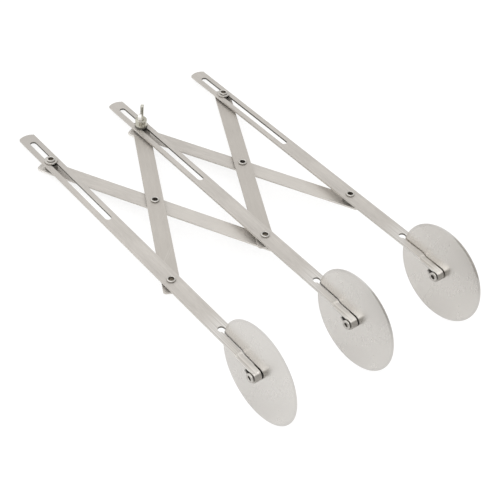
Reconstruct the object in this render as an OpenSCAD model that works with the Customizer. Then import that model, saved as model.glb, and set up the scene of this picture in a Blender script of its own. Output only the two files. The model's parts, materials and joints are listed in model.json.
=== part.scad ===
// Expandable dough cutter. Three slotted arms each carry a cutting wheel in a split,
// stepped and rolled fork. Two crossing pairs of links keep the arms parallel, and a
// wing nut on the middle arm's slot locks the spacing of the wheels.
// Millimetres. The cutter stands on its wheels and on the head of its lock bolt.

/* [Wheels] */
// Diameter of a cutting wheel
wheel_d = 101.6; // [80:0.1:115]
// Thickness of a wheel's disc
wheel_t = 1.2; // [0.9:0.1:2]
// Thickness left at the cutting rim
edge_t = 0.4; // [0.2:0.1:0.8]
// Width of the ground bevel behind the cutting rim
bevel_w = 2.5; // [1:0.1:6]
// Gap between a wheel and the fork tine on each side
wheel_gap = 0.9; // [0.3:0.1:1.2]

/* [Arms] */
// Width of an arm
arm_w = 17.5; // [15.5:0.5:22]
// Thickness of the strip that arms and links are cut from
strip_t = 2; // [1.5:0.1:2.6]
// Length of an arm behind the rearmost place of its slider
handle_len = 25.5; // [20:0.5:60]
// Radius of the rounded handle end
end_r = 14.5; // [12:0.5:30]
// Radius of the handle end's two corners
end_corner = 1.5; // [0.5:0.1:4]
// Length from an arm's pivot to the front of its slot
slot_front = 103.5; // [60:0.5:150]
// Metal left between the slot and the handle end
slot_land = 13.5; // [6:0.5:18]

/* [Fork] */
// Length from an arm's pivot to its wheel's axle
axle_ahead = 131.5; // [115:0.5:160]
// Diameter of the relief hole where the slit begins
relief_d = 7; // [5:0.5:10]
// Gap between the wheel's rim and the relief hole
relief_gap = 0.2; // [0.1:0.1:2]
// How far the tines step down
step_drop = 2; // [1:0.1:4]
// Length from the axle back to the foot of the step
step_back = 21; // [12:0.5:30]
// Length of the step's slope
step_run = 3; // [1.5:0.1:8]
// Angle that each tine is rolled round the axle, before its straight tail
eye_wrap = 220; // [205:1:255]
// Gap between a tine and the end of its rolled tail
eye_gap = 2; // [1:0.1:3]

/* [Links] */
// Width of a link
link_w = 17.5; // [15.5:0.5:19]
// Length between a link's end holes
link_len = 242; // [225:0.5:250]
// Length of a link past each end hole
link_over = 12.5; // [8:0.5:14]
// Radius of a link's corners
link_corner = 3; // [0.5:0.1:5]
// Spacing of the arms as the cutter is set
spacing = 111.5; // [40:0.5:200]

/* [Rivets] */
// Diameter of the pivot rivets
rivet_d = 6.3; // [5:0.1:7]
// Diameter of the hollow in a pivot rivet's end
rivet_bore = 4.8; // [3:0.1:5]
// Diameter of a pivot rivet's rolled rim
roll_d = 9; // [8.4:0.1:11]
// Height of a rolled rim
roll_h = 1.8; // [1:0.1:1.9]
// Diameter of a rivet's factory head
head_d = 11; // [9:0.1:14]
// Height of a rivet's factory head
head_h = 1.5; // [1:0.1:1.8]
// Depth of the hollow in a rivet's end
hollow_deep = 5; // [3:0.5:6]
// Diameter of the wheel axles
axle_d = 7.9; // [6:0.1:9]
// Diameter of the hollow in an axle's end
axle_bore = 4; // [3:0.1:5.5]
// Diameter of an axle's rolled rim
axle_roll_d = 9.4; // [9:0.1:12]
// Height of an axle's rolled rim, and of the head at its other end
axle_roll_h = 2.6; // [1.5:0.1:3]

/* [Washers] */
// Diameter of the washers and spacers
washer_d = 13.5; // [12:0.1:15]
// Thickness of the washers on top of the slots
washer_t = 1.8; // [0.8:0.1:2.5]
// Thickness of the spacers between two strips
spacer_t = 2; // [1.9:0.1:3]

/* [Lock] */
// Diameter of the lock bolt
bolt_d = 6; // [5:0.1:7]
// Diameter of the lock bolt's head
bolt_head_d = 13; // [11:0.5:16]
// Height of the lock bolt's head
bolt_head_h = 2.6; // [2:0.1:4]
// Length of the bolt that stands out of the wing nut
bolt_proud = 1.5; // [0.5:0.1:4]
// Diameter of the wing nut's foot
nut_d = 13; // [11:0.5:16]
// Diameter of the wing nut's neck
neck_d = 10.8; // [9:0.1:11]
// Height of the wing nut's hub
nut_h = 8; // [6:0.5:10]
// Distance across both wings
wing_span = 25.5; // [24:0.5:36]
// Height of the wing tips above the foot
wing_h = 20; // [15:0.5:22]
// Thickness of a wing
wing_t = 3.4; // [2:0.1:4.5]
// Radius of a wing's tip
wing_tip_r = 3.4; // [2.5:0.1:4.5]
// Height at which a wing's outer edge leaves the hub
wing_foot = 1.7; // [1:0.1:3]
// Height at which a wing's inner edge leaves the hub
wing_crotch = 6; // [4:0.5:6]
// Angle of the wings, from across the arms
wing_turn = 48; // [0:1:179]

/* [Fits] */
// Running gap round the rivets and axles
pivot_fit = 0.05; // [0.02:0.01:0.1]
// Gap round a rivet or bolt in a slot
slot_fit = 0.1; // [0.05:0.01:0.3]
// Gap round a rivet or bolt in a washer
washer_fit = 0.15; // [0.05:0.01:0.3]
// Gap between the faces of pieces that turn on each other
play = 0.1; // [0.05:0.01:0.2]

/* [Hidden] */
$fn = 64;
cut = 1;

// Levels in the stack, from the arms' top face down
layer = strip_t + spacer_t + 2 * play;
upper_top = -layer;
lower_top = -2 * layer;
lower_foot = lower_top - strip_t;

// The linkage as it is set
link_turn = asin(spacing / link_len);
slide_at = link_len * cos(link_turn);
cross_at = slide_at / 2;
slot_w = max(rivet_d, bolt_d) + 2 * slot_fit;
arm_back = link_len + handle_len;
slot_rear = arm_back - slot_land;
rivet_hole = rivet_d + 2 * pivot_fit;
link_end = slide_at + link_over * cos(link_turn) + link_w / 2 * sin(link_turn);
bolt_hole = bolt_d + 2 * washer_fit;

// The fork
eye_in = axle_d / 2 + pivot_fit;
eye_out = eye_in + strip_t;
axle_down = step_drop + eye_out;
tail_root = strip_t / 4;
tail_inset = strip_t / 40;
slit_w = wheel_t + 2 * wheel_gap;
wheel_r = wheel_d / 2;
relief_at = axle_ahead - wheel_r - relief_gap - relief_d / 2;
fork_front = axle_ahead + eye_out;

// The lock bolt's flat foot, which the cutter stands on behind the wheels
bolt_chamfer = bolt_head_h / 2;
bolt_foot_r = bolt_head_d / 2 - bolt_chamfer;
bolt_foot = lower_foot - play - bolt_head_h;
nut_seat = 2 * play + washer_t;
bolt_top = nut_seat + nut_h + bolt_proud;

// Tilt at which a point of the underside meets the table, behind the wheels
function meet(at, down) = let(back = axle_ahead + at, drop = down - axle_down)
    asin(wheel_r / norm([back, drop])) - atan2(drop, back);
tilt = min(meet(slide_at + bolt_foot_r, -bolt_foot),
           meet(slide_at + head_d / 2, head_h - lower_foot),
           meet(link_end, -lower_foot),
           meet(arm_back, strip_t));
axle_y = -axle_ahead * cos(tilt) - axle_down * sin(tilt);
axle_z = axle_ahead * sin(tilt) - axle_down * cos(tilt);
middle_y = (axle_y - wheel_r + arm_back * cos(tilt)) / 2;

STEEL = [0.77, 0.75, 0.72];
BLADE = [0.83, 0.82, 0.8];
RIVET = [0.8, 0.79, 0.77];
PLATED = [0.86, 0.85, 0.81];

// Sets the flat linkage down on its wheels, centred over the origin
module stand() {
    translate([0, -middle_y, wheel_r - axle_z])
        rotate([-tilt, 0, 0])
            children();
}

// A place on the linkage: across the arms, along them and up from their top face
module at(across, along, up = 0) {
    stand()
        translate([across, along, up])
            children();
}

// Side view of an arm's flat strip, with the step down to its tines
module strip_side() {
    step_foot = axle_ahead - step_back;
    step_head = step_foot - step_run;
    polygon([
        [-arm_back, 0], [step_head, 0], [step_foot, -step_drop], [axle_ahead, -step_drop],
        [axle_ahead, -step_drop - strip_t], [step_foot, -step_drop - strip_t],
        [step_head, -strip_t], [-arm_back, -strip_t]
    ]);
}

// Side view of the eye that each tine is rolled down into, round the axle
module eye_side() {
    translate([axle_ahead, -axle_down])
        difference() {
            circle(r = eye_out);
            circle(r = eye_in);
            eye_mouth();
        }
}

// The part of a full ring that a rolled eye leaves open, behind the axle
module eye_mouth() {
    end_turn = 90 - eye_wrap;
    polygon([
        [0, 0], [0, eye_in], [-eye_out, eye_in], [-eye_out, -eye_out * tan(end_turn)]
    ]);
}

// Side view of the tail that runs straight on from a rolled eye, back up towards the strip.
// It is a hair thinner than the eye and starts inside it, so that the two are one piece.
module tail_side() {
    outward = [sin(eye_wrap), cos(eye_wrap)];
    onward = [cos(eye_wrap), -sin(eye_wrap)];
    inner = (eye_in + tail_inset) * outward;
    outer = (eye_out - tail_inset) * outward;
    tail = onward * (eye_in - eye_gap - inner[1]) / onward[1];
    root = onward * tail_root;
    translate([axle_ahead, -axle_down])
        polygon([inner - root, inner + tail, outer + tail, outer - root]);
}

// Plan of an arm: straight sides and a rounded handle end with soft corners
module arm_plan() {
    corner_x = arm_w / 2 - end_corner;
    arc_at = arm_back - end_r;
    corner_y = arc_at + sqrt(pow(end_r - end_corner, 2) - pow(corner_x, 2));
    translate([-arm_w / 2, -fork_front - cut])
        square([arm_w, fork_front + cut + corner_y]);
    for (side = [-1, 1])
        translate([side * corner_x, corner_y])
            circle(r = end_corner);
    translate([0, arc_at])
        intersection() {
            circle(r = end_r);
            polygon([[0, 0], for (side = [1, -1]) 2 * [side * corner_x, corner_y - arc_at]]);
        }
}

// A round-ended slot through a strip, from one end of its metal to the other
module slot(from, to) {
    deep = strip_t + 2 * cut;
    for (end = [from + slot_w / 2, to - slot_w / 2])
        translate([0, end, -strip_t - cut])
            cylinder(d = slot_w, h = deep);
    translate([-slot_w / 2, from + slot_w / 2, -strip_t - cut])
        cube([slot_w, to - from - slot_w, deep]);
}

// A side view, drawn forward and up from the pivot, made as wide as an arm
module across_arm() {
    translate([-arm_w / 2, 0, 0])
        rotate([0, 0, -90])
            rotate([90, 0, 0])
                mirror([0, 0, 1])
                    linear_extrude(height = arm_w)
                        children();
}

// One arm, with its pivot at the origin and its top face at zero
module arm() {
    tall = fork_front + arm_back;
    difference() {
        intersection() {
            union() {
                across_arm() strip_side();
                across_arm() eye_side();
                across_arm() tail_side();
            }
            translate([0, 0, -tall / 2])
                linear_extrude(height = tall)
                    arm_plan();
        }
        translate([0, 0, -strip_t - cut])
            cylinder(d = rivet_hole, h = strip_t + 2 * cut);
        slot(slot_front, slot_rear);
        translate([0, -relief_at, -strip_t - cut])
            cylinder(d = relief_d, h = strip_t + 2 * cut);
        translate([-slit_w / 2, -fork_front - cut, -axle_down - eye_out - cut])
            cube([slit_w, fork_front + cut - relief_at, axle_down + eye_out + 2 * cut]);
    }
}

// One link, with its pivot hole at the origin, its top face at zero and its far hole along +Y
module link(far_hole) {
    difference() {
        translate([0, 0, -strip_t])
            linear_extrude(height = strip_t)
                link_plan();
        for (hole = [[0, rivet_hole], [link_len / 2, rivet_hole], [link_len, far_hole]])
            translate([0, hole[0], -strip_t - cut])
                cylinder(d = hole[1], h = strip_t + 2 * cut);
    }
}

// Plan of a link: a strip with square ends and soft corners
module link_plan() {
    corner_x = link_w / 2 - link_corner;
    near = -link_over + link_corner;
    far = link_len + link_over - link_corner;
    translate([-link_w / 2, near])
        square([link_w, far - near]);
    translate([-corner_x, near - link_corner])
        square([2 * corner_x, far - near + 2 * link_corner]);
    for (x = [-corner_x, corner_x], y = [near, far])
        translate([x, y])
            circle(r = link_corner);
}

// A plain disc with a bevel ground on both faces of its rim, turning about X
module wheel() {
    bore = axle_d + 2 * pivot_fit;
    rotate([0, 90, 0])
        rotate_extrude()
            polygon([
                [bore / 2, -wheel_t / 2], [wheel_r - bevel_w, -wheel_t / 2],
                [wheel_r, -edge_t / 2], [wheel_r, edge_t / 2],
                [wheel_r - bevel_w, wheel_t / 2], [bore / 2, wheel_t / 2]
            ]);
}

// A rivet with a hollow end rolled over at zero and a low round head under its grip
module rivet(grip, shank = rivet_d, bore = rivet_bore, roll = roll_d, rim_h = roll_h, foot_h = head_h) {
    roll_r = rim_h / 2;
    roll_at = roll / 2 - roll_r;
    mouth = roll_at - roll_r;
    difference() {
        union() {
            translate([0, 0, -grip])
                cylinder(d = shank, h = grip);
            cylinder(r = roll_at, h = roll_r);
            rotate_extrude()
                translate([roll_at, roll_r])
                    circle(r = roll_r);
        }
        translate([0, 0, -hollow_deep])
            cylinder(d = bore, h = hollow_deep + rim_h);
        translate([0, 0, -roll_r])
            cylinder(d1 = bore, r2 = mouth, h = 2 * roll_r);
        translate([0, 0, roll_r])
            cylinder(r = mouth, h = rim_h);
    }
    translate([0, 0, -grip - foot_h])
        low_head(foot_h);
}

// A rivet's factory head, rounded underneath
module low_head(tall) {
    dome_r = (pow(head_d / 2, 2) + pow(tall, 2)) / (2 * tall);
    intersection() {
        cylinder(d = head_d, h = tall);
        translate([0, 0, dome_r])
            sphere(r = dome_r);
    }
}

// A flat ring from its foot up
module ring(hole, tall) {
    difference() {
        cylinder(d = washer_d, h = tall);
        translate([0, 0, -cut])
            cylinder(d = hole, h = tall + 2 * cut);
    }
}

// A spacer that fills the stack between two faces, less the play at each
module spacer(top, foot, hole = rivet_d + 2 * washer_fit) {
    translate([0, 0, foot + play])
        ring(hole, top - foot - 2 * play);
}

module arm_left() {
    color(STEEL) at(-spacing, 0) arm();
}

module arm_middle() {
    color(STEEL) at(0, 0) arm();
}

module arm_right() {
    color(STEEL) at(spacing, 0) arm();
}

module upper_link_left() {
    color(STEEL) at(-spacing, 0, upper_top) rotate([0, 0, -link_turn]) link(bolt_hole);
}

module lower_link_left() {
    color(STEEL) at(0, 0, lower_top) rotate([0, 0, link_turn]) link(rivet_hole);
}

module upper_link_right() {
    color(STEEL) at(0, 0, upper_top) rotate([0, 0, -link_turn]) link(rivet_hole);
}

module lower_link_right() {
    color(STEEL) at(spacing, 0, lower_top) rotate([0, 0, link_turn]) link(bolt_hole);
}

module wheel_left() {
    color(BLADE) at(-spacing, -axle_ahead, -axle_down) wheel();
}

module wheel_middle() {
    color(BLADE) at(0, -axle_ahead, -axle_down) wheel();
}

module wheel_right() {
    color(BLADE) at(spacing, -axle_ahead, -axle_down) wheel();
}

// An axle is a rivet across the fork, with its hollow end to the left
module axle(across) {
    color(RIVET)
        at(across - arm_w / 2, -axle_ahead, -axle_down)
            rotate([0, -90, 0])
                rivet(arm_w, axle_d, axle_bore, axle_roll_d, axle_roll_h, axle_roll_h);
}

module axle_left() {
    axle(-spacing);
}

module axle_middle() {
    axle(0);
}

module axle_right() {
    axle(spacing);
}

module pivot_rivet_left() {
    color(RIVET) at(-spacing, 0) rivet(strip_t + play - upper_top);
}

module pivot_rivet_middle() {
    color(RIVET) at(0, 0) rivet(play - lower_foot);
}

module pivot_rivet_right() {
    color(RIVET) at(spacing, 0) rivet(play - lower_foot);
}

// A crossing rivet is headed tight under the lower link
module cross_rivet(across) {
    color(RIVET) at(across, cross_at, upper_top + play) rivet(upper_top + play - lower_foot);
}

module cross_rivet_left() {
    cross_rivet(-spacing / 2);
}

module cross_rivet_right() {
    cross_rivet(spacing / 2);
}

// A slide rivet is headed tight under its link and rolled over a washer on its arm's slot
module slide_rivet_left() {
    color(RIVET) at(-spacing, slide_at, play + washer_t) rivet(play + washer_t - lower_foot);
}

module slide_rivet_right() {
    color(RIVET) at(spacing, slide_at, play + washer_t) rivet(play + washer_t - upper_top + strip_t);
}

module slide_washer_left() {
    color(RIVET) at(-spacing, slide_at, play) ring(rivet_d + 2 * washer_fit, washer_t);
}

module slide_washer_right() {
    color(RIVET) at(spacing, slide_at, play) ring(rivet_d + 2 * washer_fit, washer_t);
}

module pivot_spacer_left() {
    color(RIVET) at(-spacing, 0) spacer(-strip_t, upper_top);
}

module pivot_spacers_middle() {
    color(RIVET) at(0, 0) {
        spacer(-strip_t, upper_top);
        spacer(upper_top - strip_t, lower_top);
    }
}

module pivot_spacer_right() {
    color(RIVET) at(spacing, 0) spacer(-strip_t, lower_top);
}

module cross_spacer_left() {
    color(RIVET) at(-spacing / 2, cross_at) spacer(upper_top - strip_t, lower_top);
}

module cross_spacer_right() {
    color(RIVET) at(spacing / 2, cross_at) spacer(upper_top - strip_t, lower_top);
}

module slide_spacer_left() {
    color(RIVET) at(-spacing, slide_at) spacer(-strip_t, lower_top);
}

module slide_spacer_right() {
    color(RIVET) at(spacing, slide_at) spacer(-strip_t, upper_top);
}

module lock_spacers() {
    color(RIVET) at(0, slide_at) {
        spacer(-strip_t, upper_top, bolt_hole);
        spacer(upper_top - strip_t, lower_top, bolt_hole);
    }
}

module lock_bolt() {
    color(PLATED)
        at(0, slide_at, bolt_foot) {
            cylinder(r1 = bolt_foot_r, d2 = bolt_head_d, h = bolt_chamfer);
            translate([0, 0, bolt_chamfer])
                cylinder(d = bolt_head_d, h = bolt_head_h - bolt_chamfer);
            cylinder(d = bolt_d, h = bolt_top - bolt_foot);
        }
}

module lock_washer() {
    color(PLATED) at(0, slide_at, play) ring(bolt_hole, washer_t);
}

// One wing, seen from the side: it leans out of the hub and ends in a round tip
module wing_side() {
    tip = [wing_span / 2 - wing_tip_r, wing_h - wing_tip_r];
    foot = [nut_d / 2 - wing_foot, wing_foot];
    lean = atan2(tip[1] - foot[1], tip[0] - foot[0]);
    square_off = wing_tip_r * [sin(lean), -cos(lean)];
    mid_wall = (neck_d / 2 + bolt_d / 2) / 2;
    translate(tip)
        circle(r = wing_tip_r);
    polygon([foot, tip + square_off, tip - square_off, [mid_wall, wing_crotch], [mid_wall, wing_foot]]);
}

module wing_nut() {
    color(PLATED)
        at(0, slide_at, nut_seat)
            rotate([0, 0, wing_turn])
                difference() {
                    union() {
                        cylinder(d1 = nut_d, d2 = neck_d, h = nut_h);
                        for (side = [0, 180])
                            rotate([90, 0, side])
                                translate([0, 0, -wing_t / 2])
                                    linear_extrude(height = wing_t)
                                        wing_side();
                    }
                    translate([0, 0, -cut])
                        cylinder(d = bolt_d + 2 * pivot_fit, h = nut_h + 2 * cut);
                }
}

arm_left();
arm_middle();
arm_right();
upper_link_left();
lower_link_left();
upper_link_right();
lower_link_right();
wheel_left();
wheel_middle();
wheel_right();
axle_left();
axle_middle();
axle_right();
pivot_rivet_left();
pivot_rivet_middle();
pivot_rivet_right();
cross_rivet_left();
cross_rivet_right();
slide_rivet_left();
slide_rivet_right();
slide_washer_left();
slide_washer_right();
pivot_spacer_left();
pivot_spacers_middle();
pivot_spacer_right();
cross_spacer_left();
cross_spacer_right();
slide_spacer_left();
slide_spacer_right();
lock_spacers();
lock_bolt();
lock_washer();
wing_nut();
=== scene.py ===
import json
import math

import bmesh
import bpy
from mathutils import Matrix, Vector


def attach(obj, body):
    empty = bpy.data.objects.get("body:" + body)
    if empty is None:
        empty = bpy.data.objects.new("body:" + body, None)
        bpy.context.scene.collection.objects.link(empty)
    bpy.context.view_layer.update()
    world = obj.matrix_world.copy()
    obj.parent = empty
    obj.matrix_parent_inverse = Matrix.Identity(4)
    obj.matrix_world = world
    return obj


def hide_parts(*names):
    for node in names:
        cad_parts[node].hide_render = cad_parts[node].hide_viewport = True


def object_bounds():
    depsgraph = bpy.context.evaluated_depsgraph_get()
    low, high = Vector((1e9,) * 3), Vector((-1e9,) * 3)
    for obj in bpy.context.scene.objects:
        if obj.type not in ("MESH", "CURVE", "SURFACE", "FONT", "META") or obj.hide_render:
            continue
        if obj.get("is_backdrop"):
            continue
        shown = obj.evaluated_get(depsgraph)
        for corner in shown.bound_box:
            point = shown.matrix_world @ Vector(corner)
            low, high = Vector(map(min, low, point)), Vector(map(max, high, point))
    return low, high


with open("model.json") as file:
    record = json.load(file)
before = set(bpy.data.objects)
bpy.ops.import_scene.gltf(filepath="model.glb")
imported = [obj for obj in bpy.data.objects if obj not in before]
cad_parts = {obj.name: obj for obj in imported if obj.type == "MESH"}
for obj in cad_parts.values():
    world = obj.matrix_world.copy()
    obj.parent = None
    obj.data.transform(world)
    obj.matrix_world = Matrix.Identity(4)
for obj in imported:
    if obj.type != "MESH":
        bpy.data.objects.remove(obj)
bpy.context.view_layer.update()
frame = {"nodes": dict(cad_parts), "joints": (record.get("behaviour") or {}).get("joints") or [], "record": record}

MM = 0.001

# Directions of the cutter as it stands: across the arms, along them to the handle ends, and square to them
record = frame["record"]
joints = {joint["name"]: joint for joint in frame["joints"]}
UP = Vector(joints["spread"]["axis"]).normalized()
ALONG = Vector((0, UP.z, -UP.y))
ACROSS = Vector((1, 0, 0))

body_of = {node: body for body, nodes in record["behaviour"]["bodies"].items() for node in nodes}

# Sizes in millimetres, as in the solids
WHEEL_D, WHEEL_T, EDGE_T, BEVEL_W = 101.6, 1.2, 0.4, 2.5
SLIT_W, SLOT_W, RELIEF_D, RELIEF_AHEAD = 3.0, 6.5, 7.0, 77.0
RIVET_D, RIVET_BORE, ROLL_D, ROLL_H = 6.3, 4.8, 9.0, 1.8
HEAD_D, HEAD_H, HOLLOW, PIVOT_FIT = 11.0, 1.5, 5.0, 0.05
AXLE_D, AXLE_BORE, AXLE_ROLL_D, AXLE_ROLL_H = 7.9, 4.0, 9.4, 2.6
WASHER_D, RIVET_RING, BOLT_RING, SPACER_T = 13.5, 6.6, 6.3, 2.0
BOLT_D, BOLT_HEAD_D, BOLT_HEAD_H = 6.0, 13.0, 2.6
NUT_D, NECK_D, NUT_H, NUT_BORE = 13.0, 10.8, 8.0, 6.1
WING_SPAN, WING_H, WING_T, WING_TIP_R, WING_TURN = 25.5, 20.0, 3.4, 3.4, 48.0

# Small forms that the solids leave out, in millimetres
STRIP_BREAK, STEP_BEND = 0.45, 1.6
THREAD_PITCH, THREAD_LONG, THREAD_DEEP, THREAD_ROW = 1.0, 13.0, 0.45, 0.1
TIP_CHAMFER, CASTING_GRAIN = 0.5, 0.22

# Points closer than this become one, in metres: in a turned piece, and in the copy of a solid
WELD, SOLID_WELD = 1e-7, 2e-6


# Placing pieces

def reach(node, way):
    """Lowest and highest place of a node along a direction."""
    spots = [vertex.co.dot(way) for vertex in frame["nodes"][node].data.vertices]
    return min(spots), max(spots)


def middle(node, way):
    low, high = reach(node, way)
    return (low + high) / 2


def plan_middle(node):
    """The middle of a node, across and along the arms."""
    return ACROSS * middle(node, ACROSS) + ALONG * middle(node, ALONG)


def seat(node, axis=UP):
    """Where a turned node stands: the foot of its own axis, with Z along that axis, and its height."""
    side = ACROSS if axis == UP else ALONG
    other = axis.cross(side)
    low, high = reach(node, axis)
    foot = side * middle(node, side) + other * middle(node, other) + axis * low
    return Matrix.Translation(foot) @ Matrix((side, other, axis)).transposed().to_4x4(), high - low


def pick(piece):
    """Selects one piece and nothing else."""
    bpy.ops.object.select_all(action="DESELECT")
    piece.select_set(True)
    bpy.context.view_layer.objects.active = piece


def put(piece, place):
    """Sets a piece down in the frame, with its place in its mesh."""
    pick(piece)
    piece.matrix_world = place
    bpy.ops.object.transform_apply(location=True, rotation=True, scale=True)
    return piece


def stand_for(piece, node, *finishes):
    """Shows a piece in place of a solid, on the same body. Each face takes the finish of its mark."""
    marks = [face.material_index for face in piece.data.polygons]
    piece.data.materials.clear()
    for finish in finishes:
        piece.data.materials.append(finish)
    for face, index in zip(piece.data.polygons, marks):
        face.material_index = min(index, len(finishes) - 1)
    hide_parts(node)
    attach(piece, body_of[node])


# Working on pieces

def open_mesh(piece):
    pick(piece)
    bpy.ops.object.mode_set(mode="EDIT")
    bpy.ops.mesh.select_all(action="SELECT")


def close_mesh():
    bpy.ops.object.mode_set(mode="OBJECT")


def modify(piece, kind, **settings):
    """Adds one modifier and applies it."""
    pick(piece)
    modifier = piece.modifiers.new(kind.lower(), kind)
    for key, value in settings.items():
        setattr(modifier, key, value)
    bpy.ops.object.modifier_apply(modifier=modifier.name)


def smooth(piece, angle=40):
    pick(piece)
    bpy.ops.object.shade_smooth_by_angle(angle=math.radians(angle))


def arc(centre, radius, start, end, count):
    """Points of an arc, as radius and height, with its angles from the outward level."""
    turns = [math.radians(start + (end - start) * k / count) for k in range(count + 1)]
    return [(centre[0] + radius * math.cos(t), centre[1] + radius * math.sin(t)) for t in turns]


def outline_of(name, points, closed=True):
    """A loop of edges through the given points, in the XZ plane, made from a circle."""
    bpy.ops.object.select_all(action="DESELECT")
    bpy.ops.mesh.primitive_circle_add(vertices=len(points), radius=MM)
    piece = bpy.context.object
    piece.name = name
    piece.data.name = name
    for vertex, (x, z) in zip(piece.data.vertices, points):
        vertex.co = (x * MM, 0, z * MM)
    if not closed:
        open_mesh(piece)
        bpy.ops.mesh.select_all(action="DESELECT")
        loop = bmesh.from_edit_mesh(piece.data)
        loop.verts.ensure_lookup_table()
        ends = {loop.verts[0], loop.verts[len(points) - 1]}
        for edge in loop.edges:
            edge.select_set(set(edge.verts) == ends)
        bpy.ops.mesh.delete(type="EDGE_FACE")
        close_mesh()
    return piece


def turned(name, points, steps):
    """A solid of revolution about Z. Its outline is closed, or starts and ends on the axis."""
    on_axis = points[0][0] == 0
    piece = outline_of(name, points, closed=not on_axis)
    open_mesh(piece)
    bpy.ops.mesh.spin(steps=steps, angle=2 * math.pi, center=(0, 0, 0), axis=(0, 0, 1))
    bpy.ops.mesh.select_all(action="SELECT")
    bpy.ops.mesh.remove_doubles(threshold=WELD)
    bpy.ops.mesh.normals_make_consistent(inside=False)
    close_mesh()
    smooth(piece)
    return piece


def mark(piece, test):
    """Marks the faces of a turned piece for its finishes, by their radius and height in millimetres."""
    for face in piece.data.polygons:
        radius = math.hypot(face.center.x, face.center.y) / MM
        face.material_index = int(test(radius, face.center.z / MM))


def joined(name, pieces):
    bpy.ops.object.select_all(action="DESELECT")
    for piece in pieces:
        piece.select_set(True)
    bpy.context.view_layer.objects.active = pieces[0]
    bpy.ops.object.join()
    pieces[0].name = name
    return pieces[0]


# Finishes

class Signal:
    """A socket in a finish, so that shader maths reads as plain expressions."""

    def __init__(self, finish, socket):
        self.finish = finish
        self.socket = socket

    def math(self, operation, first, second=0.0, clamp=False):
        settings = {"operation": operation, "use_clamp": clamp}
        return self.finish.add("ShaderNodeMath", settings, {0: first, 1: second})["Value"]

    def __add__(self, other):
        return self.math("ADD", self, other)

    __radd__ = __add__

    def __sub__(self, other):
        return self.math("SUBTRACT", self, other)

    def __rsub__(self, other):
        return self.math("SUBTRACT", other, self)

    def __mul__(self, other):
        return self.math("MULTIPLY", self, other)

    __rmul__ = __mul__

    def __truediv__(self, other):
        return self.math("DIVIDE", self, other)

    def __pow__(self, other):
        return self.math("POWER", self, other)

    def held(self):
        """The same signal, kept between nought and one."""
        return self.math("ADD", self, 0.0, clamp=True)

    def ramp(self, start, run):
        """Nought up to a start, then rising to one over a run. A run below nought rises the other way."""
        return ((self - start) / run).held()

    def contrast(self, gain):
        """Noise spread further from its middle."""
        return ((self - 0.5) * gain + 0.5).held()


class Made:
    """A node that was added, whose outputs are taken by name or place."""

    def __init__(self, finish, node):
        self.finish = finish
        self.node = node

    def __getitem__(self, key):
        return Signal(self.finish, self.node.outputs[key])


class Finish:
    """The nodes of one material, or of the world."""

    def __init__(self, owner):
        self.owner = owner
        owner.use_nodes = True
        self.tree = owner.node_tree
        self.tree.nodes.clear()

    def add(self, kind, settings=None, inputs=None):
        """Any node: its settings come first, then the values or links of its sockets."""
        node = self.tree.nodes.new(kind)
        for key, value in (settings or {}).items():
            setattr(node, key, value)
        for key, value in (inputs or {}).items():
            if isinstance(value, Signal):
                self.tree.links.new(value.socket, node.inputs[key])
            else:
                node.inputs[key].default_value = value
        return Made(self, node)

    def laid(self, start=(0, 0, 0), lie=(0, 0, 0)):
        """Object coordinates measured from a piece's own start, along its own directions."""
        place = self.add("ShaderNodeTexCoord")["Object"]
        inputs = {"Vector": place, "Location": start, "Rotation": lie}
        return self.add("ShaderNodeMapping", {"vector_type": "TEXTURE"}, inputs)["Vector"]

    def aslant(self, place, angle):
        """Coordinates turned about Z by an angle in degrees."""
        inputs = {"Vector": place, "Rotation": (0, 0, math.radians(angle))}
        return self.add("ShaderNodeMapping", None, inputs)["Vector"]

    def parts(self, place):
        made = self.add("ShaderNodeSeparateXYZ", None, {"Vector": place})
        return made["X"], made["Y"], made["Z"]

    def noise(self, place, stretch, detail=2.0):
        """Noise that repeats so many times a metre each way."""
        inputs = {0: place, 1: stretch}
        scaled = self.add("ShaderNodeVectorMath", {"operation": "MULTIPLY"}, inputs)["Vector"]
        return self.add("ShaderNodeTexNoise", None, {"Vector": scaled, "Scale": 1.0, "Detail": detail})["Fac"]

    def rings(self, radius, closeness, detail):
        """Turned lines that repeat so many times a metre of radius."""
        inputs = {"W": radius * closeness, "Scale": 1.0, "Detail": detail}
        return self.add("ShaderNodeTexNoise", {"noise_dimensions": "1D"}, inputs)["Fac"]

    def mix(self, share, first, second):
        inputs = {0: share, 6: (*first, 1.0) if isinstance(first, tuple) else first,
                  7: (*second, 1.0) if isinstance(second, tuple) else second}
        return self.add("ShaderNodeMix", {"data_type": "RGBA"}, inputs)[2]

    def metal(self, colour, rough, height, depth, strength):
        """Finishes a bare metal, with bumps of the given depth in millimetres."""
        bump = {"Strength": strength, "Distance": depth * MM, "Height": height}
        normal = self.add("ShaderNodeBump", None, bump)["Normal"]
        inputs = {"Base Color": colour, "Roughness": rough, "Metallic": 1.0, "Normal": normal}
        shader = self.add("ShaderNodeBsdfPrincipled", None, inputs)["BSDF"]
        self.add("ShaderNodeOutputMaterial", None, {"Surface": shader})
        return self.owner


# Tones of the brushed strips and their scratches; darker tones towards the arms' handle ends and along the upper
# links; a lighter tone on the lower links and their first ends, painted light where the arms shade them; a painted
# highlight on the crowns of the eyes, painted shade on their rolled fronts, and brushed streaks on the tines that
# are lightened as painted light
BRUSHED_LOW, BRUSHED_HIGH, SCRATCHED = (0.525, 0.500, 0.470), (0.670, 0.641, 0.606), (0.74, 0.72, 0.69)
HANDLE_END_TONE, UPPER_LINK_TONE, PAINTED_LINK_LIGHT = (0.522, 0.500, 0.474), (0.528, 0.498, 0.462), (0.725, 0.698, 0.662)
PAINTED_END_LIGHT, CROWN_HIGHLIGHT, EYE_SHADE = (0.88, 0.86, 0.83), (0.95, 0.935, 0.91), (0.40, 0.385, 0.36)
FORK_SHEEN_LOW, FORK_SHEEN_HIGH = (0.540, 0.522, 0.497), (0.800, 0.781, 0.755)

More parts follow.
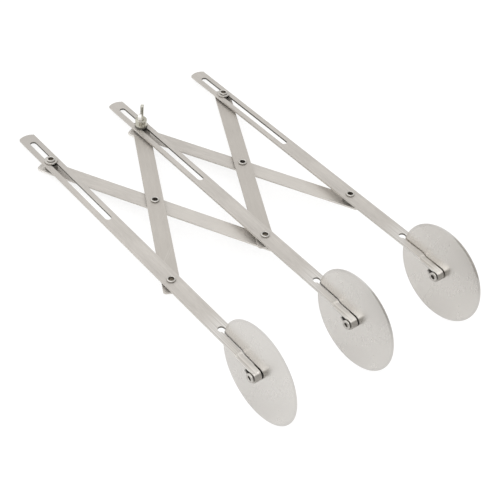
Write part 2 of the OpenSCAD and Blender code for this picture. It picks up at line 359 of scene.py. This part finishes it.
# Where these places begin and how far they run in, in millimetres: along a strip from the middle of an arm or
# from the first hole of a link, and for the eye from an arm's top face
HANDLE_TONE_FROM, TONE_SHIFT_RUN, END_FROM, END_RUN = 60, 140, 6, -8
FORK_FROM, FORK_RUN, CROWN_FROM, CROWN_RUN = -120, -20, -188, -8
EYE_FROM, EYE_RUN = -3.0, -0.7
BRUSHED_GAIN, SCRATCH_TURN = 3.6, 24


def strip_steel(name, start, lie, shifted_tone, share, begin, painted_end_light=0.0, rolled=0.0):
    """Satin stainless strip, brushed along its length, shifted towards another tone from a place onwards, with a
    few fine scratches. Its first end can be painted lighter as painted light, the crowns of its rolled eyes can
    take a painted highlight, their rolled fronts take a painted shade, and its tines brushed streaks lightened as
    painted light."""
    finish = Finish(bpy.data.materials.new(name))
    place = finish.laid(start, lie)
    along, above = finish.parts(place)[1:]
    lines = finish.noise(place, (2600, 30, 2600), detail=3.0)
    bands = finish.noise(place, (330, 6, 330), detail=3.0)
    grain = finish.noise(place, (900, 110, 900))
    cloud = finish.noise(place, (38, 24, 38), detail=3.0)
    streaks = finish.noise(place, (640, 5, 640)).contrast(BRUSHED_GAIN)
    scratch = finish.noise(finish.aslant(place, SCRATCH_TURN), (1500, 16, 1500), detail=1.0).ramp(0.70, 1 / 9)
    tone = (0.33 * cloud + 0.24 * bands + 0.25 * grain + 0.18 * lines).contrast(BRUSHED_GAIN)
    colour = finish.mix(tone, BRUSHED_LOW, BRUSHED_HIGH)
    # Another tone from a place onwards: darker on the arms' handle ends and the upper links, lighter on the lower
    # links as painted light
    colour = finish.mix(share * along.ramp(begin * MM, TONE_SHIFT_RUN * MM), colour, shifted_tone)
    if painted_end_light:
        # Painted light: a lighter tone at the first end, where a lower link lies in the shade of its arm
        colour = finish.mix(painted_end_light * along.ramp(END_FROM * MM, END_RUN * MM), colour, PAINTED_END_LIGHT)
    colour = finish.mix(0.35 * scratch, colour, SCRATCHED)
    # The tines take brushed streaks in lighter tones: real streaks, lightened as painted light
    fork = along.ramp(FORK_FROM * MM, FORK_RUN * MM)
    colour = finish.mix(0.85 * fork, colour, finish.mix(streaks, FORK_SHEEN_LOW, FORK_SHEEN_HIGH))
    # Painted shade on the rolled fronts of the eyes
    eye_shade = above.ramp(EYE_FROM * MM, EYE_RUN * MM) * fork
    colour = finish.mix(0.75 * eye_shade, colour, EYE_SHADE)
    if rolled:
        # Painted highlight on the crowns of the rolled eyes
        crown_highlight = along.ramp(CROWN_FROM * MM, CROWN_RUN * MM) * (1 - eye_shade)
        colour = finish.mix(rolled * crown_highlight, colour, CROWN_HIGHLIGHT)
    rough = 0.56 + 0.12 * (lines - 0.5) + 0.10 * (cloud - 0.5) - 0.08 * scratch - 0.08 * fork
    height = 0.6 * lines + 0.4 * bands - 0.3 * scratch
    return finish.metal(colour, rough, height, depth=0.02, strength=0.35)


# Tone of the ground bevel, a little darker than the face as a painted shade round the rim, and the width in
# which it begins, in millimetres
GROUND_BEVEL_SHADE, GROUND_RUN = (0.575, 0.558, 0.538), 0.15


def wheel_steel(name, centre, low, high):
    """Fine satin disc with faint turned lines, and a ground bevel of closer lines round its rim, a little darker
    as painted shade.
    """
    finish = Finish(bpy.data.materials.new(name))
    place = finish.laid(centre)
    ahead, above = finish.parts(place)[1:]
    radius = (ahead * ahead + above * above) ** 0.5
    bevel = radius.ramp((WHEEL_D / 2 - BEVEL_W) * MM, GROUND_RUN * MM)
    lines = finish.rings(radius, 4200, detail=3.0)
    close = finish.rings(radius, 11000, detail=2.0)
    cloud = finish.noise(place, (30, 30, 30), detail=3.0)
    rub = finish.noise(place, (700, 700, 90))
    tone = (0.8 * cloud + 0.1 * lines + 0.1 * rub).held()
    colour = finish.mix(tone, low, high)
    colour = finish.mix(0.6 * bevel, colour, GROUND_BEVEL_SHADE)
    rough = 0.27 + 0.08 * (cloud - 0.5) + 0.04 * (rub - 0.5) - 0.13 * bevel
    height = (0.5 * lines + 0.5 * rub) * (1 - bevel) + close * bevel
    return finish.metal(colour, rough, height, depth=0.02, strength=0.12)


def rivet_steel(name, low, high):
    """Satin of rolled rivets and washers between two tones, with small rubs from being closed."""
    finish = Finish(bpy.data.materials.new(name))
    place = finish.laid()
    cloud = finish.noise(place, (240, 240, 240), detail=3.0)
    fine = finish.noise(place, (3000, 3000, 3000), detail=3.0)
    colour = finish.mix((0.65 * cloud + 0.35 * fine).held(), low, high)
    rough = 0.32 + 0.14 * (cloud - 0.5) + 0.08 * (fine - 0.5)
    return finish.metal(colour, rough, 0.4 * fine + 0.6 * cloud, depth=0.04, strength=0.4)


def dull_steel(name, low, high):
    """Dull metal between two tones: painted shade on strip walls and sides, spacers and crevices, and the tones
    deep in hollows.
    """
    finish = Finish(bpy.data.materials.new(name))
    cloud = finish.noise(finish.laid(), (700, 700, 700), detail=3.0)
    colour = finish.mix(cloud, low, high)
    return finish.metal(colour, 0.5 + 0.2 * (cloud - 0.5), cloud, depth=0.04, strength=0.4)


# Tones of the plating, painted shade on the wings and a painted highlight on their outer sides, and where
# they lie, in millimetres: the highlight outside the wings' leaning middle line and above the hub, the shade above
# it
PLATED_LOW, PLATED_HIGH = (0.38, 0.37, 0.31), (0.62, 0.60, 0.53)
WING_SHADE, WING_HIGHLIGHT = (0.34, 0.335, 0.31), (0.90, 0.885, 0.85)
WING_LEAN, HIGHLIGHT_OUT, HIGHLIGHT_OUT_RUN = 0.305, 1.8, 1.4
HIGHLIGHT_UP, HIGHLIGHT_UP_RUN, WING_SHADE_UP, WING_SHADE_UP_RUN = 8, 3, 8.5, 2


def plated_steel(name, start, lie):
    """Plating over a cast or rolled surface, a little warm, with painted shade on the wings and a painted
    highlight on their outer sides, where its roughness also rises."""
    finish = Finish(bpy.data.materials.new(name))
    place = finish.laid(start, lie)
    aside, _, above = finish.parts(place)
    out = (aside * aside) ** 0.5
    # Masks of the painted highlight on the wings' outer sides and of the painted shade on the rest of the wings
    outside = (out - WING_LEAN * above).ramp(HIGHLIGHT_OUT * MM, HIGHLIGHT_OUT_RUN * MM)
    wing_highlight = outside * above.ramp(HIGHLIGHT_UP * MM, HIGHLIGHT_UP_RUN * MM)
    wing_shade = above.ramp(WING_SHADE_UP * MM, WING_SHADE_UP_RUN * MM) * (1 - wing_highlight)
    cast = finish.noise(place, (420, 420, 420), detail=3.0)
    fine = finish.noise(place, (2600, 2600, 2600))
    colour = finish.mix((0.7 * cast + 0.3 * fine).held(), PLATED_LOW, PLATED_HIGH)
    # Painted shade on the wings, then the painted highlight
    colour = finish.mix(0.5 * wing_shade, colour, WING_SHADE)
    colour = finish.mix(wing_highlight, colour, WING_HIGHLIGHT)
    rough = 0.20 + 0.12 * (cast - 0.5) + 0.06 * (fine - 0.5) + 0.20 * wing_highlight
    return finish.metal(colour, rough, 0.75 * cast + 0.25 * fine, depth=0.09, strength=0.5)


# Painted shade: lighter on the arms' sides beside their slots, dark on slot walls, spacers and the lock washer,
# and darkest on slits, relief holes, hollow mouths, rivet shanks and the feet of rims and rings; then two tones
# for the depths of hollows
side_shade = dull_steel("painted_side_shade_steel", (0.40, 0.383, 0.358), (0.52, 0.500, 0.470))
dark_shade = dull_steel("painted_dark_shade_steel", (0.11, 0.105, 0.095), (0.26, 0.250, 0.230))
hollow = dull_steel("hollow_depth_steel", (0.53, 0.495, 0.44), (0.75, 0.71, 0.65))
deep = dull_steel("deep_hollow_steel", (0.22, 0.20, 0.175), (0.40, 0.37, 0.335))
dark = dull_steel("shaded_hollow_steel", (0.040, 0.037, 0.032), (0.340, 0.322, 0.292))


# Strips: arms and links, with the edges of the solids softened

def cut_strip(name, node):
    """A copy of a strip's solid with its flat faces made whole."""
    strip = bpy.data.objects.new(name, frame["nodes"][node].data.copy())
    strip.data.name = name
    bpy.context.scene.collection.objects.link(strip)
    open_mesh(strip)
    bpy.ops.mesh.remove_doubles(threshold=SOLID_WELD)
    bpy.ops.mesh.dissolve_limited(angle_limit=math.radians(0.4))
    close_mesh()
    return strip


def round_bends(strip):
    """Rounds the folds where the tines step down: edges across the strip that turn by 20 to 50 degrees."""
    open_mesh(strip)
    bpy.ops.mesh.select_all(action="DESELECT")
    mesh = bmesh.from_edit_mesh(strip.data)
    for edge in mesh.edges:
        run = (edge.verts[0].co - edge.verts[1].co).normalized()
        turn = math.degrees(edge.calc_face_angle(0.0))
        edge.select_set(abs(run.dot(ACROSS)) > 0.99 and 20 < turn < 50)
    bpy.ops.mesh.bevel(offset=STEP_BEND * MM, segments=4, affect="EDGES")
    close_mesh()


def soften(strip):
    """Breaks the sharp edges of a stamped strip."""
    modify(strip, "BEVEL", width=STRIP_BREAK * MM, segments=3, limit_method="ANGLE",
           angle_limit=math.radians(50), use_clamp_overlap=True, harden_normals=False)
    smooth(strip, 35)
    modify(strip, "WEIGHTED_NORMAL", keep_sharp=True)


def mark_edges(arm, pivot):
    """Marks an arm's upright faces for their finishes: 1 for the punched walls of its slot, 2 for its relief
    hole, 3 for the sheared sides beside the slot, and 4 for its slit, each painted darker as painted shade."""
    slack, upright, facing = 0.1, 0.35, 0.9
    for face in arm.data.polygons:
        place = face.center - pivot
        aside, ahead = abs(place.dot(ACROSS)) / MM, -place.dot(ALONG) / MM
        if abs(face.normal.dot(UP)) < upright:
            slot = ahead < 0 and aside < SLOT_W / 2 + slack and face.normal.dot(ALONG) < facing
            sideways = abs(face.normal.dot(ACROSS)) > facing
            slit = sideways and aside < SLIT_W / 2 + slack and ahead > RELIEF_AHEAD
            relief = max(abs(ahead - RELIEF_AHEAD), aside) < RELIEF_D / 2 + slack
            side = ahead < 0 and aside > SLOT_W
            face.material_index = 3 if side else 2 if relief else 4 if slit else int(slot)


arm_lie = Matrix((ACROSS, ALONG, UP)).transposed().to_euler()
# Each arm: the share of its darker handle-end tone, the share of the painted highlight on its eyes' crowns, and
# its slit walls' painted shade, lighter on the right arm
for side, handle_share, rolled, slit in (("left", 0.85, 0.35, dark), ("middle", 0.35, 0.65, dark),
                                    ("right", 0.28, 0.8, hollow)):
    node = "arm_" + side
    strip = cut_strip(side + "_arm_strip", node)
    round_bends(strip)
    soften(strip)
    mark_edges(strip, plan_middle("pivot_rivet_" + side))
    start = plan_middle(node) + UP * reach(node, UP)[1]
    brushed = strip_steel(side + "_arm_brushed", start, arm_lie, HANDLE_END_TONE, handle_share, HANDLE_TONE_FROM, rolled=rolled)
    stand_for(strip, node, brushed, dark_shade, dark, side_shade, slit)

# An upper link is shifted to a darker tone all along, and a lower one is painted lighter towards its pivot
# and at its other end, as painted light where the arms shade it. Each has a tone, its share, the place in
# millimetres where it begins, and the share at the first end
UPPER_LINK_SHIFT, LOWER_LINK_LIGHT = (UPPER_LINK_TONE, 0.55, -120), (PAINTED_LINK_LIGHT, 0.75, 80, 0.9)
for node, pivot_joint, washer in (("upper_link_left", "left_pivot", "lock_washer"),
                                  ("lower_link_left", "spread", "slide_washer_left"),
                                  ("upper_link_right", "middle_pivot", "slide_washer_right"),
                                  ("lower_link_right", "right_pivot", "lock_washer")):
    pivot = Vector(joints[pivot_joint]["pos_m"])
    slider = plan_middle(washer) + UP * pivot.dot(UP)
    upper = "upper" in node
    start, end = (pivot, slider) if upper else (slider, pivot)
    onward = (end - start).normalized()
    lie = Matrix((onward.cross(UP), onward, UP)).transposed().to_euler()
    strip = cut_strip(node + "_strip", node)
    soften(strip)
    stand_for(strip, node, strip_steel(node + "_brushed", start, lie, *(UPPER_LINK_SHIFT if upper else LOWER_LINK_LIGHT)))


# Wheels: thin discs with a bevel ground on both faces of the rim

def disc_outline():
    """A wheel's outline, with small breaks at its bore, at the shoulder of its bevel and at its rim."""
    half, edge, rim, bore = WHEEL_T / 2, EDGE_T / 2, WHEEL_D / 2, AXLE_D / 2 + PIVOT_FIT
    shoulder = rim - BEVEL_W
    bore_break, soft, rim_break = 0.15, 0.12, 0.06
    points = [(bore, -half + bore_break), (bore + bore_break, -half), (rim * 0.35, -half), (rim * 0.7, -half),
              (shoulder - soft, -half), (shoulder + soft, -half + 0.02), (rim - 0.9, -half + 0.256),
              (rim - rim_break, -edge - 0.01), (rim, -edge + rim_break)]
    return points + [(r, -h) for r, h in reversed(points)]


# Each wheel is a lit or shaded copy of one satin, as painted light: the middle one lightest, the left darkest
for side, low, high in (("left", (0.608, 0.590, 0.566), (0.678, 0.660, 0.636)),
                        ("middle", (0.632, 0.613, 0.588), (0.697, 0.677, 0.650)),
                        ("right", (0.615, 0.594, 0.566), (0.685, 0.663, 0.634))):
    node = "wheel_" + side
    centre = Vector([middle(node, Vector(way)) for way in ((1, 0, 0), (0, 1, 0), (0, 0, 1))])
    wheel = turned(side + "_wheel_disc", disc_outline(), steps=192)
    put(wheel, Matrix.Translation(centre) @ Matrix.Rotation(math.radians(90), 4, "Y"))
    stand_for(wheel, node, wheel_steel(side + "_wheel_satin", centre, low, high))


# Rivets and axles: a low head, a shank, and a hollow end rolled over into a rim

def rivet_outline(grip, shank, hole, roll, rim_h, head_h):
    """From the middle of the head round to the bottom of the hollow, with the rim's foot at nought."""
    curl = rim_h / 2
    curl_at = roll / 2 - curl
    mouth = curl_at - curl
    dome = (HEAD_D ** 2 / 4 + head_h ** 2) / (2 * head_h)
    spread = math.degrees(math.asin(HEAD_D / 2 / dome))
    head_break, root, corner, drill_point = 0.1, 0.05, 0.3, 0.5
    points = [(0, -grip - head_h)]
    points += arc((0, -grip - head_h + dome), dome, -90, -90 + spread, 8)[1:]
    points += [(HEAD_D / 2 - head_break, -grip), (shank / 2, -grip), (shank / 2, -root), (curl_at, 0)]
    points += arc((curl_at, curl), curl, -80, 180, 16)
    points += [(mouth + 0.35 * (hole / 2 - mouth), curl * 0.2), (hole / 2, -curl)]
    points += [(hole / 2, -HOLLOW + corner), (hole / 2 - corner, -HOLLOW), (0, -HOLLOW - drill_point)]
    return points


def rivet_shades(grip, shank, hole, roll, rim_h):
    """A test for a rivet's marks: 2 in the depth of its hollow, 1 for painted shade at its mouth, rim's foot and
    shank.
    """
    slack, below, lip = 0.05, 1, -0.2
    mouth_r, mouth_top, foot_top = roll / 2 - rim_h + 0.25, 0.62 * rim_h, 0.22 * rim_h

    def shade(r, h):
        inside = r < hole / 2 + slack and -HOLLOW - below < h < lip
        mouth = r < mouth_r and lip < h < mouth_top
        foot = r > shank / 2 - slack and -grip < h < foot_top
        return 2 if inside else mouth or foot

    return shade


bright = rivet_steel("rolled_rivet_steel", (0.46, 0.44, 0.41), (0.66, 0.64, 0.61))
satin = rivet_steel("axle_steel", (0.40, 0.385, 0.36), (0.60, 0.58, 0.55))
axle_form = (satin, AXLE_D, AXLE_BORE, AXLE_ROLL_D, AXLE_ROLL_H, AXLE_ROLL_H, -ACROSS)
rivet_form = (bright, RIVET_D, RIVET_BORE, ROLL_D, ROLL_H, HEAD_H, UP)
for node in ("axle_left", "axle_middle", "axle_right", "pivot_rivet_left", "pivot_rivet_middle",
             "pivot_rivet_right", "cross_rivet_left", "cross_rivet_right", "slide_rivet_left",
             "slide_rivet_right"):
    finish, shank, hole, roll, rim_h, head_h, axis = axle_form if "axle" in node else rivet_form
    place, tall = seat(node, axis)
    grip = tall / MM - rim_h - head_h
    rivet = turned(node + "_rolled", rivet_outline(grip, shank, hole, roll, rim_h, head_h), steps=72)
    mark(rivet, rivet_shades(grip, shank, hole, roll, rim_h))
    put(rivet, place @ Matrix.Translation((0, 0, tall - rim_h * MM)))
    stand_for(rivet, node, finish, dark, deep if "cross" in node or node == "pivot_rivet_right" else hollow)


# Washers and spacers: stamped rings with rolled-over outer edges

def ring_of(name, hole, tall):
    """One ring, with small breaks round its hole and its foot marked for a painted shade."""
    inner, outer = hole / 2, WASHER_D / 2
    soft, low_break, high_break, foot = 0.3, 0.12, 0.15, 0.22
    points = ([(inner + low_break, 0), (outer - soft, 0)] + arc((outer - soft, soft), soft, -70, 0, 3)
              + arc((outer - soft, tall - soft), soft, 0, 90, 4)
              + [(inner + high_break, tall), (inner, tall - high_break), (inner, low_break)])
    ring = turned(name, points, steps=72)
    mark(ring, lambda r, h: h < foot)
    return ring


# Washers take the rivets' satin, while the spacers and the lock washer are painted dark as painted shade, and the
# foot of each single ring darker still as painted shade
for node in ("slide_washer_left", "slide_washer_right", "pivot_spacer_left", "pivot_spacer_right",
             "cross_spacer_left", "cross_spacer_right", "slide_spacer_left", "slide_spacer_right"):
    place, tall = seat(node)
    ring = put(ring_of(node + "_ring", RIVET_RING, tall / MM), place)
    stand_for(ring, node, bright if "washer" in node else dark_shade, dark)

for node, hole in (("pivot_spacers_middle", RIVET_RING), ("lock_spacers", BOLT_RING)):
    place, tall = seat(node)
    rings = [ring_of(node + "_" + name, hole, SPACER_T) for name in ("low", "high")]
    put(rings[0], place)
    put(rings[1], place @ Matrix.Translation((0, 0, tall - SPACER_T * MM)))
    stand_for(joined(node + "_rings", rings), node, dark_shade)

place, tall = seat("lock_washer")
washer = put(ring_of("lock_washer_ring", BOLT_RING, tall / MM), place)
stand_for(washer, "lock_washer", dark_shade, dark)


# Lock bolt: a chamfered round head, a plain shank and a rolled thread up to its tip

def bolt_outline(top, thread_low):
    """From the middle of the head's foot to the middle of the tip, with close rows where the thread goes."""
    shank, head, chamfer = BOLT_D / 2, BOLT_HEAD_D / 2, BOLT_HEAD_H / 2
    foot = head - chamfer
    soft, slight, slope, last_row = 0.2, 0.1, 0.08, 0.6
    points = [(0, 0), (foot - soft, 0), (foot, slight), (head - slope, chamfer - slope)]
    points += [(head, chamfer + slight), (head, BOLT_HEAD_H - soft), (head - soft, BOLT_HEAD_H)]
    points += [(shank, BOLT_HEAD_H), (shank, thread_low)]
    rows = int((top - last_row - thread_low) / THREAD_ROW)
    points += [(shank, thread_low + THREAD_ROW * k) for k in range(1, rows + 1)]
    return points + [(shank, top - TIP_CHAMFER), (shank - TIP_CHAMFER, top), (0, top)]


def roll_thread(bolt, low, high):
    """Rolls a thread into the part of a turned bolt between two heights, shallower towards both ends."""
    low_fade, high_fade = 0.8, 0.5
    for vertex in bolt.data.vertices:
        r, h = math.hypot(vertex.co.x, vertex.co.y) / MM, vertex.co.z / MM
        if r > 2 and low < h < high:
            phase = (h / THREAD_PITCH - math.atan2(vertex.co.y, vertex.co.x) / (2 * math.pi)) % 1
            fade = min(1, (h - low) / low_fade, (high - h) / high_fade)
            wanted = BOLT_D / 2 - THREAD_DEEP * fade * abs(2 * phase - 1)
            vertex.co.x *= wanted / r
            vertex.co.y *= wanted / r


nut_place = seat("wing_nut")[0] @ Matrix.Rotation(math.radians(WING_TURN), 4, "Z")
plating = plated_steel("plating_painted_highlight_shade", nut_place.translation, nut_place.to_euler())

place, tall = seat("lock_bolt")
bolt_top = tall / MM
bolt = turned("lock_bolt_threaded", bolt_outline(bolt_top, bolt_top - THREAD_LONG), steps=48)
roll_thread(bolt, bolt_top - THREAD_LONG, bolt_top - TIP_CHAMFER)
stand_for(put(bolt, place), "lock_bolt", plating)


# Wing nut: a cast hub and two leaning wings, run together with soft roots

def wing(name):
    """One wing from its side view: a hollow outer edge, a round tip and an inner edge down to the hub."""
    tip = (WING_SPAN / 2 - WING_TIP_R, WING_H - WING_TIP_R)
    outer = [(2.0, 1.0), (5.4, 1.2), (6.3, 2.6), (7.2, 5.0), (8.4, 8.2), (9.9, 11.2), (11.5, 13.8)]
    inner = [(5.9, 14.8), (5.6, 12.2), (5.0, 9.8), (3.9, 7.4), (2.0, 6.4)]
    side = outline_of(name, outer + arc(tip, WING_TIP_R, -30, 165, 18) + inner)
    open_mesh(side)
    bpy.ops.mesh.edge_face_add()
    bpy.ops.mesh.extrude_region_move(TRANSFORM_OT_translate={"value": (0, WING_T * MM, 0)})
    bpy.ops.mesh.select_all(action="SELECT")
    bpy.ops.transform.translate(value=(0, -WING_T / 2 * MM, 0))
    bpy.ops.mesh.normals_make_consistent(inside=False)
    close_mesh()
    return side


def hub_outline():
    """A hub that narrows in a soft curve from its foot to its neck."""
    foot, neck = NUT_D / 2, NECK_D / 2
    return [(0, 0), (foot - 0.3, 0), (foot, 0.3), (foot - 0.15, 1.0), (foot - 0.5, 3.5),
            (neck + 0.9, NUT_H - 1.2), (neck + 0.4, NUT_H - 0.2), (neck - 0.2, NUT_H), (0, NUT_H)]


casting = turned("wing_nut_casting", hub_outline(), steps=72)
wings = [wing("wing_one"), wing("wing_two")]
put(wings[1], Matrix.Rotation(math.pi, 4, "Z"))
for blade in wings:
    modify(casting, "BOOLEAN", object=blade, operation="UNION", solver="EXACT")
    bpy.data.objects.remove(blade)
modify(casting, "REMESH", mode="VOXEL", voxel_size=CASTING_GRAIN * MM)
modify(casting, "SMOOTH", factor=0.5, iterations=8)
bpy.ops.object.select_all(action="DESELECT")
bpy.ops.mesh.primitive_cylinder_add(vertices=72, radius=NUT_BORE / 2 * MM, depth=4 * NUT_H * MM)
drill = bpy.context.object
modify(casting, "BOOLEAN", object=drill, operation="DIFFERENCE", solver="EXACT")
bpy.data.objects.remove(drill)
smooth(casting, 50)
stand_for(put(casting, nut_place), "wing_nut", plating)


# Camera at the photograph's viewing angle

CAMERA_AT = (-0.551369, -0.55178, 0.829637)
CAMERA_RIGHT, CAMERA_UP = Vector((0.785134, -0.603311, 0.139928)), Vector((0.377803, 0.645593, 0.663682))
camera = bpy.data.objects.new("camera", bpy.data.cameras.new("camera"))
bpy.context.scene.collection.objects.link(camera)
turn = Matrix((CAMERA_RIGHT, CAMERA_UP, CAMERA_RIGHT.cross(CAMERA_UP))).transposed().to_4x4()
camera.matrix_world = Matrix.Translation(CAMERA_AT) @ turn
camera.data.sensor_width = 36.0
camera.data.lens = 80.58
camera.data.clip_start, camera.data.clip_end = 0.01, 50.0
bpy.context.scene.camera = camera


# Stage: a white floor that keeps a faint shadow, and a soft white room with one lamp

PAPER, FLOOR_SIZE = 0.80, 12.0
MIRRORED_GLOW, SEEN_PAPER, SEEN_GLOW = 0.18, 0.28, 0.78
ROOM_GLOW, SKY_GLOW, WINDOW_GLOW = 0.775, 0.18, 0.60
ROOM_WHITE, SKY_RISE = (1.0, 0.995, 0.985, 1.0), 1.3
WINDOW_WAY, WINDOW_EDGE, WINDOW_RUN = (-0.49, 0.64, 0.59), 0.55, 0.45


def paper_floor():
    """White paper that shines a little of itself in reflections, and more to the camera, so that its shadow
    is faint there."""
    bpy.ops.object.select_all(action="DESELECT")
    bpy.ops.mesh.primitive_plane_add(size=FLOOR_SIZE)
    floor = bpy.context.object
    floor.name = "floor"
    paper = Finish(bpy.data.materials.new("white_paper"))
    ray = paper.add("ShaderNodeLightPath")

    def lit(shade):
        return paper.add("ShaderNodeBsdfDiffuse", None, {"Color": (shade, shade, shade, 1.0)})["BSDF"]

    def glowing(shade, glow):
        inputs = {"Color": (1.0, 1.0, 1.0, 1.0), "Strength": glow}
        own = paper.add("ShaderNodeEmission", None, inputs)["Emission"]
        return paper.add("ShaderNodeAddShader", None, {0: lit(shade), 1: own})["Shader"]

    def either(share, first, second):
        return paper.add("ShaderNodeMixShader", None, {0: share, 1: first, 2: second})["Shader"]

    mirrored = either(ray["Is Glossy Ray"], lit(PAPER), glowing(PAPER, MIRRORED_GLOW))
    shown = either(ray["Is Camera Ray"], mirrored, glowing(SEEN_PAPER, SEEN_GLOW))
    paper.add("ShaderNodeOutputMaterial", None, {"Surface": shown})
    floor.data.materials.append(paper.owner)
    return floor


def white_room():
    """An even room, brighter above and towards one window, and plain white to the camera."""
    room = Finish(bpy.data.worlds.new("white_room"))
    bpy.context.scene.world = room.owner
    x, y, z = room.parts(room.add("ShaderNodeTexCoord")["Generated"])
    sky = (z * SKY_RISE).held()
    window = (x * WINDOW_WAY[0] + y * WINDOW_WAY[1] + z * WINDOW_WAY[2]).ramp(WINDOW_EDGE, WINDOW_RUN)
    glow = ROOM_GLOW + SKY_GLOW * sky + WINDOW_GLOW * window
    seen = room.add("ShaderNodeLightPath")["Is Camera Ray"]
    inputs = {"Color": ROOM_WHITE, "Strength": glow + seen * (1.0 - glow)}
    light = room.add("ShaderNodeBackground", None, inputs)["Background"]
    room.add("ShaderNodeOutputWorld", None, {"Surface": light})


def soft_box(name, place, aim, size, power):
    lamp = bpy.data.objects.new(name, bpy.data.lights.new(name, "AREA"))
    bpy.context.scene.collection.objects.link(lamp)
    lamp.location = place
    lamp.rotation_euler = (Vector(aim) - Vector(place)).to_track_quat("-Z", "Y").to_euler()
    lamp.data.shape = "SQUARE"
    lamp.data.size = size
    lamp.data.energy = power


floor = paper_floor()
floor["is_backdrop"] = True
white_room()
soft_box("key", place=(-0.9, -0.7, 1.8), aim=(0, 0, 0.03), size=0.45, power=5.0)

bpy.context.scene.view_settings.view_transform = "Standard"

low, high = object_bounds()
